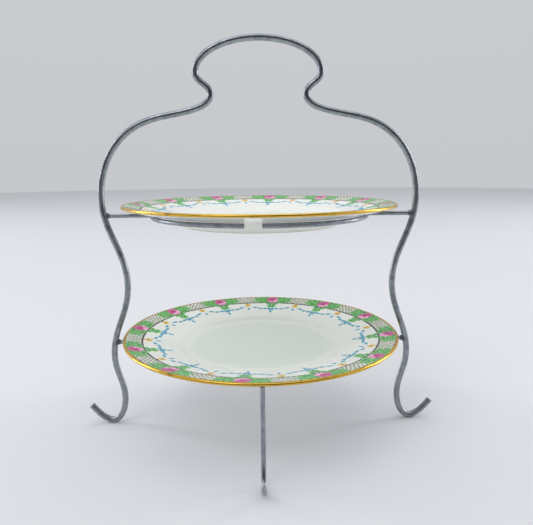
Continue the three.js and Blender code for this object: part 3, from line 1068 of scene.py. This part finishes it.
class EnamelLayer:
    """Spots of enamel on one plate, gathered in one mesh."""

    def __init__(self, form):
        self.form, self.bm = form, bmesh.new()
        self.uv_map = self.bm.loops.layers.uv.new(PATTERN_MAP)

    def spot(self, around, radius, motif, fullness, material=0, raised=0.0):
        """One domed spot. motif is (along, out, length, width, turn) in metres and radians."""
        along, out, size, width, turned = motif
        border, middle = settings("border"), size / 2
        outline = bud_outline(size, width, fullness)
        c, s = math.cos(turned), math.sin(turned)
        low, high = border.film + raised, border.enamel + raised
        rings = [(1, -border.film), *((share, low + (high - low) * up) for share, up in DOME)]
        rows = []
        for share, height in rings:
            row = []
            for x, y, _, _ in outline:
                px, py = x * share, middle + (y - middle) * share
                r = radius + out - px * s + py * c
                theta = around + (along + px * c + py * s) / radius
                place = (r * math.cos(theta), r * math.sin(theta))
                row.append(self.bm.verts.new((*place, self.form.base + self.form.top(r) + height)))
            rows.append(row)

        def on_map(row, column):
            _, _, across, reach = outline[column % len(outline)]
            share = rings[row][0]
            return 0.5 + (across - 0.5) * share, 0.5 + (reach - 0.5) * share

        faces = add_grid(self.bm, self.uv_map, rows, on_map)
        lid = self.bm.faces.new(rows[-1])
        for column, loop in enumerate(lid.loops):
            loop[self.uv_map].uv = on_map(len(rows) - 1, column)
        for face in (*faces, lid, self.bm.faces.new(rows[0][::-1])):
            face.material_index = material

    def fire(self, name, materials):
        """Makes the layer a piece that rides on its plate."""
        bmesh.ops.recalc_face_normals(self.bm, faces=self.bm.faces)
        tier = self.form.tier
        new_piece(f"{tier}_{name}", self.bm, materials, f"{tier}_plate", sharp=50)


class CAKE_OT_roses(bpy.types.Operator):
    """Enamel the twelve roses of each plate, petal by petal"""

    bl_idname = "cake.roses"
    bl_label = "Roses"

    def execute(self, context):
        pinks = [pale_rose_overglaze_enamel, mid_rose_overglaze_enamel, deep_rose_overglaze_enamel]
        for tier in TIERS:
            form = PlateForm(tier)
            layer = EnamelLayer(form)
            _, hairline, ground, _ = border_radii(form)
            middle, size = (hairline + ground) / 2, settings("border").rose * form.scale
            for index, around in enumerate(rose_angles(form)):
                draw = random.Random(index)
                for row, (count, start, reach, width, raised) in enumerate(ROSE_ROWS):
                    for petal in range(count):
                        turned = 2 * math.pi * (petal + 0.5 * row) / count
                        turned += draw.uniform(-PETAL_SWAY, PETAL_SWAY)
                        along, out = math.sin(turned) * start, math.cos(turned) * start
                        lit = math.cos(turned - LIGHT_TURN) > LIT_ABOVE
                        pink = (0 if lit else 1) if row < 2 else 2
                        motif = (*(v * size for v in (along, out, reach, width)), turned)
                        height = (raised + PETAL_STACK * petal) * MM
                        layer.spot(around, middle, motif, ROSE_PETAL, pink, height)
            layer.fire("roses", pinks)
        return {"FINISHED"}


class CAKE_OT_leaves(bpy.types.Operator):
    """Enamel the leaves and buds beside each rose and the leaf pendant inside it"""

    bl_idname = "cake.leaves"
    bl_label = "Leaves"

    def execute(self, context):
        for tier in TIERS:
            form = PlateForm(tier)
            layer = EnamelLayer(form)
            _, hairline, ground, dark = border_radii(form)
            middle = (hairline + ground) / 2
            for around in rose_angles(form):
                for index, motif in enumerate(twins(ROSE_LEAVES, form.scale)):
                    layer.spot(around, middle, motif, LEAF, 0, LEAF_STACK * index * MM)
                for motif in twins(ROSE_BUDS, form.scale):
                    layer.spot(around, middle, motif, ROUND, 1, BUD_RAISED * MM)
                for index, motif in enumerate(twins(PENDANT_LEAVES, form.scale, inward=True)):
                    layer.spot(around, dark, motif, LEAF, 0, LEAF_STACK * index * MM)
            layer.fire("leaves", [leaf_green_overglaze_enamel, dark_bud_overglaze_enamel])
        return {"FINISHED"}


class CAKE_OT_festoons(bpy.types.Operator):
    """Enamel the turquoise festoons and the small yellow blossoms between the roses"""

    bl_idname = "cake.festoons"
    bl_label = "Festoons"

    def execute(self, context):
        half = math.pi / settings("border").repeats
        colours = [
            turquoise_overglaze_enamel,
            yellow_overglaze_enamel,
            brown_heart_overglaze_enamel,
        ]
        for tier in TIERS:
            form = PlateForm(tier)
            layer = EnamelLayer(form)
            unit, dark = MM * form.scale, border_radii(form)[3]
            blossom = dark - BLOSSOM_INSIDE * unit
            for around in rose_angles(form):
                between = around + half
                for share, inside, turned in FESTOON_HUSKS:
                    for sign, (size, width, fullness) in product((-1, 1), HUSK_AND_STEM):
                        shape = (v * unit for v in (-sign * size / 2, 0, size, width))
                        motif = (*shape, sign * math.radians(turned))
                        here = around + sign * half * share
                        layer.spot(here, dark - inside * unit, motif, fullness)
                # Under the rose: a pair of husks side by side and a drop below them
                for motif in twins(PENDANT_HUSKS, form.scale, inward=True):
                    layer.spot(around, dark, motif, HUSK)
                layer.spot(around, dark, drop(*PENDANT_DROP, unit), DROP)
                layer.spot(between, dark, drop(*FESTOON_DROP, unit), DROP)
                for petal in range(BLOSSOM_PETALS):
                    turned = 2 * math.pi * petal / BLOSSOM_PETALS
                    motif = (0, 0, BLOSSOM_LENGTH * unit, BLOSSOM_WIDTH * unit, turned)
                    layer.spot(between, blossom, motif, PETAL, 1)
                for heart in BLOSSOM_HEARTS:
                    motif = drop(*heart, unit)
                    layer.spot(between, blossom, motif, ROUND, 2, HEART_RAISED * MM)
            layer.fire("festoons", colours)
        return {"FINISHED"}


# ---------------------------------------------------------------- stage

FLOOR_RADIUS = 6
# The black cloth: its middle, and half its width and height
FLAG_PLACE, FLAG_REACH = (0, -1.5, 0.9), (2.1, 0.9)
# Soft lamps: name, place, width and height, watts. They stand well back, so that no edge of
# their light falls near the stand.
SOFTBOXES = (
    ("key_softbox", (-2.0, -2.4, 3.6), (2.2, 2.2), 36),
    ("top_softbox", (0, 0, 3.4), (3.2, 3.2), 30),
    ("left_strip", (-3.4, 1.1, 1.3), (0.8, 2.6), 46),
    ("right_strip", (3.4, 1.1, 1.3), (0.8, 2.6), 46),
)
LAMPS_FACE = (0, 0, 0.18)
# The room is a little darker at the horizon, so that it meets the floor without a line, and
# reaches its full strength this share of the way up.
HORIZON_STRENGTH, ROOM_STRENGTH, ROOM_RISE = 0.66, 0.7, 0.4
CAMERA_PLACE = (-0.004, -0.5067, 0.2585)
CAMERA_YAW, CAMERA_DIP, CAMERA_ROLL = -0.02, 0.181, -0.0088
SENSOR_WIDTH, LENS = 36, 35.4


def add_board(name, bm, material):
    """Turns the bmesh into a board of the stage, which isn't part of the object."""
    mesh = bpy.data.meshes.new(name)
    bm.to_mesh(mesh)
    bm.free()
    mesh.materials.append(finish(material))
    board = bpy.data.objects.new(name, mesh)
    bpy.context.scene.collection.objects.link(board)
    return board


def add_softbox(name, place, size, power):
    """A soft rectangular lamp that faces the stand."""
    lamp = bpy.data.lights.new(name, "AREA")
    lamp.shape, lamp.energy = "RECTANGLE", power
    lamp.size, lamp.size_y = size
    holder = bpy.data.objects.new(name, lamp)
    holder.location = place
    toward = Vector(LAMPS_FACE) - Vector(place)
    holder.rotation_euler = toward.to_track_quat("-Z", "Y").to_euler()
    holder.visible_camera = False
    bpy.context.scene.collection.objects.link(holder)


def add_room(scene):
    """The pale room all round, seen above the floor and in everything that shines."""
    world = bpy.data.worlds.new("studio")
    world.use_nodes = True
    tree = world.node_tree
    tree.nodes.clear()
    upward = add_node(tree, "TexCoord", out="Generated")
    height = add_node(tree, "SeparateXYZ", {0: upward}, out=2)
    shade = {0: height, 1: 0, 2: ROOM_RISE, 3: HORIZON_STRENGTH, 4: ROOM_STRENGTH}
    brightness = add_node(tree, "MapRange", shade)
    light = add_node(tree, "Background", {"Color": tone("room"), "Strength": brightness})
    add_node(tree, "OutputWorld", {"Surface": light})
    scene.world = world
    scene.view_settings.view_transform = "Standard"


def add_camera(scene):
    camera = bpy.data.cameras.new("camera")
    camera.sensor_fit, camera.sensor_width, camera.lens = "HORIZONTAL", SENSOR_WIDTH, LENS
    view = bpy.data.objects.new("camera", camera)
    scene.collection.objects.link(view)
    aim = Matrix.Rotation(CAMERA_YAW, 4, "Z") @ Matrix.Rotation(math.pi / 2 - CAMERA_DIP, 4, "X")
    aim = aim @ Matrix.Rotation(CAMERA_ROLL, 4, "Z")
    view.matrix_world = Matrix.Translation(CAMERA_PLACE) @ aim
    scene.camera = view


class CAKE_OT_stage(bpy.types.Operator):
    """Set the pale floor, the black cloth, the soft studio lights and the camera"""

    bl_idname = "cake.stage"
    bl_label = "Stage"

    def execute(self, context):
        bm = bmesh.new()
        bmesh.ops.create_circle(bm, cap_ends=True, segments=96, radius=FLOOR_RADIUS)
        add_board("studio_floor", bm, matt_painted_board)

        # A black cloth in front, seen only in gloss: wires and gold reflect it as a dark core.
        hung = Matrix.Translation(FLAG_PLACE) @ Matrix.Rotation(math.pi / 2, 4, "X")
        hung = hung @ Matrix.Diagonal((*FLAG_REACH, 1, 1))
        bm = bmesh.new()
        bmesh.ops.create_grid(bm, x_segments=1, y_segments=1, size=1, matrix=hung)
        flag = add_board("black_flag", bm, black_cotton_velvet)
        flag.visible_camera = flag.visible_diffuse = flag.visible_shadow = False

        for softbox in SOFTBOXES:
            add_softbox(*softbox)
        add_room(context.scene)
        add_camera(context.scene)
        return {"FINISHED"}


# ---------------------------------------------------------------- add-on

OPERATORS = (
    CAKE_OT_main_rod,
    CAKE_OT_plate_rings,
    CAKE_OT_cross_bars,
    CAKE_OT_wire_legs,
    CAKE_OT_weld_beads,
    CAKE_OT_plates,
    CAKE_OT_gilding,
    CAKE_OT_printed_bands,
    CAKE_OT_roses,
    CAKE_OT_leaves,
    CAKE_OT_festoons,
    CAKE_OT_stage,
)


class CAKE_PT_panel(bpy.types.Panel):
    """Lists the steps that build the stand"""

    bl_label = "Cake Stand"
    bl_idname = "CAKE_PT_panel"
    bl_space_type = "VIEW_3D"
    bl_region_type = "UI"
    bl_category = "Cake Stand"

    def draw(self, context):
        for operator in OPERATORS:
            self.layout.operator(operator.bl_idname)
        for name, group in GROUPS.items():
            box = self.layout.box()
            for key in group.__annotations__:
                box.prop(getattr(context.scene, name), key)


CLASSES = (*GROUPS.values(), *OPERATORS, CAKE_PT_panel)


def register():
    for made in CLASSES:
        bpy.utils.register_class(made)
    for name, group in GROUPS.items():
        setattr(bpy.types.Scene, name, PointerProperty(type=group))


def unregister():
    for name in GROUPS:
        delattr(bpy.types.Scene, name)
    for made in reversed(CLASSES):
        bpy.utils.unregister_class(made)


def main():
    register()
    for operator in OPERATORS:
        family, name = operator.bl_idname.split(".")
        getattr(getattr(bpy.ops, family), name)()


if __name__ == "__main__":
    main()
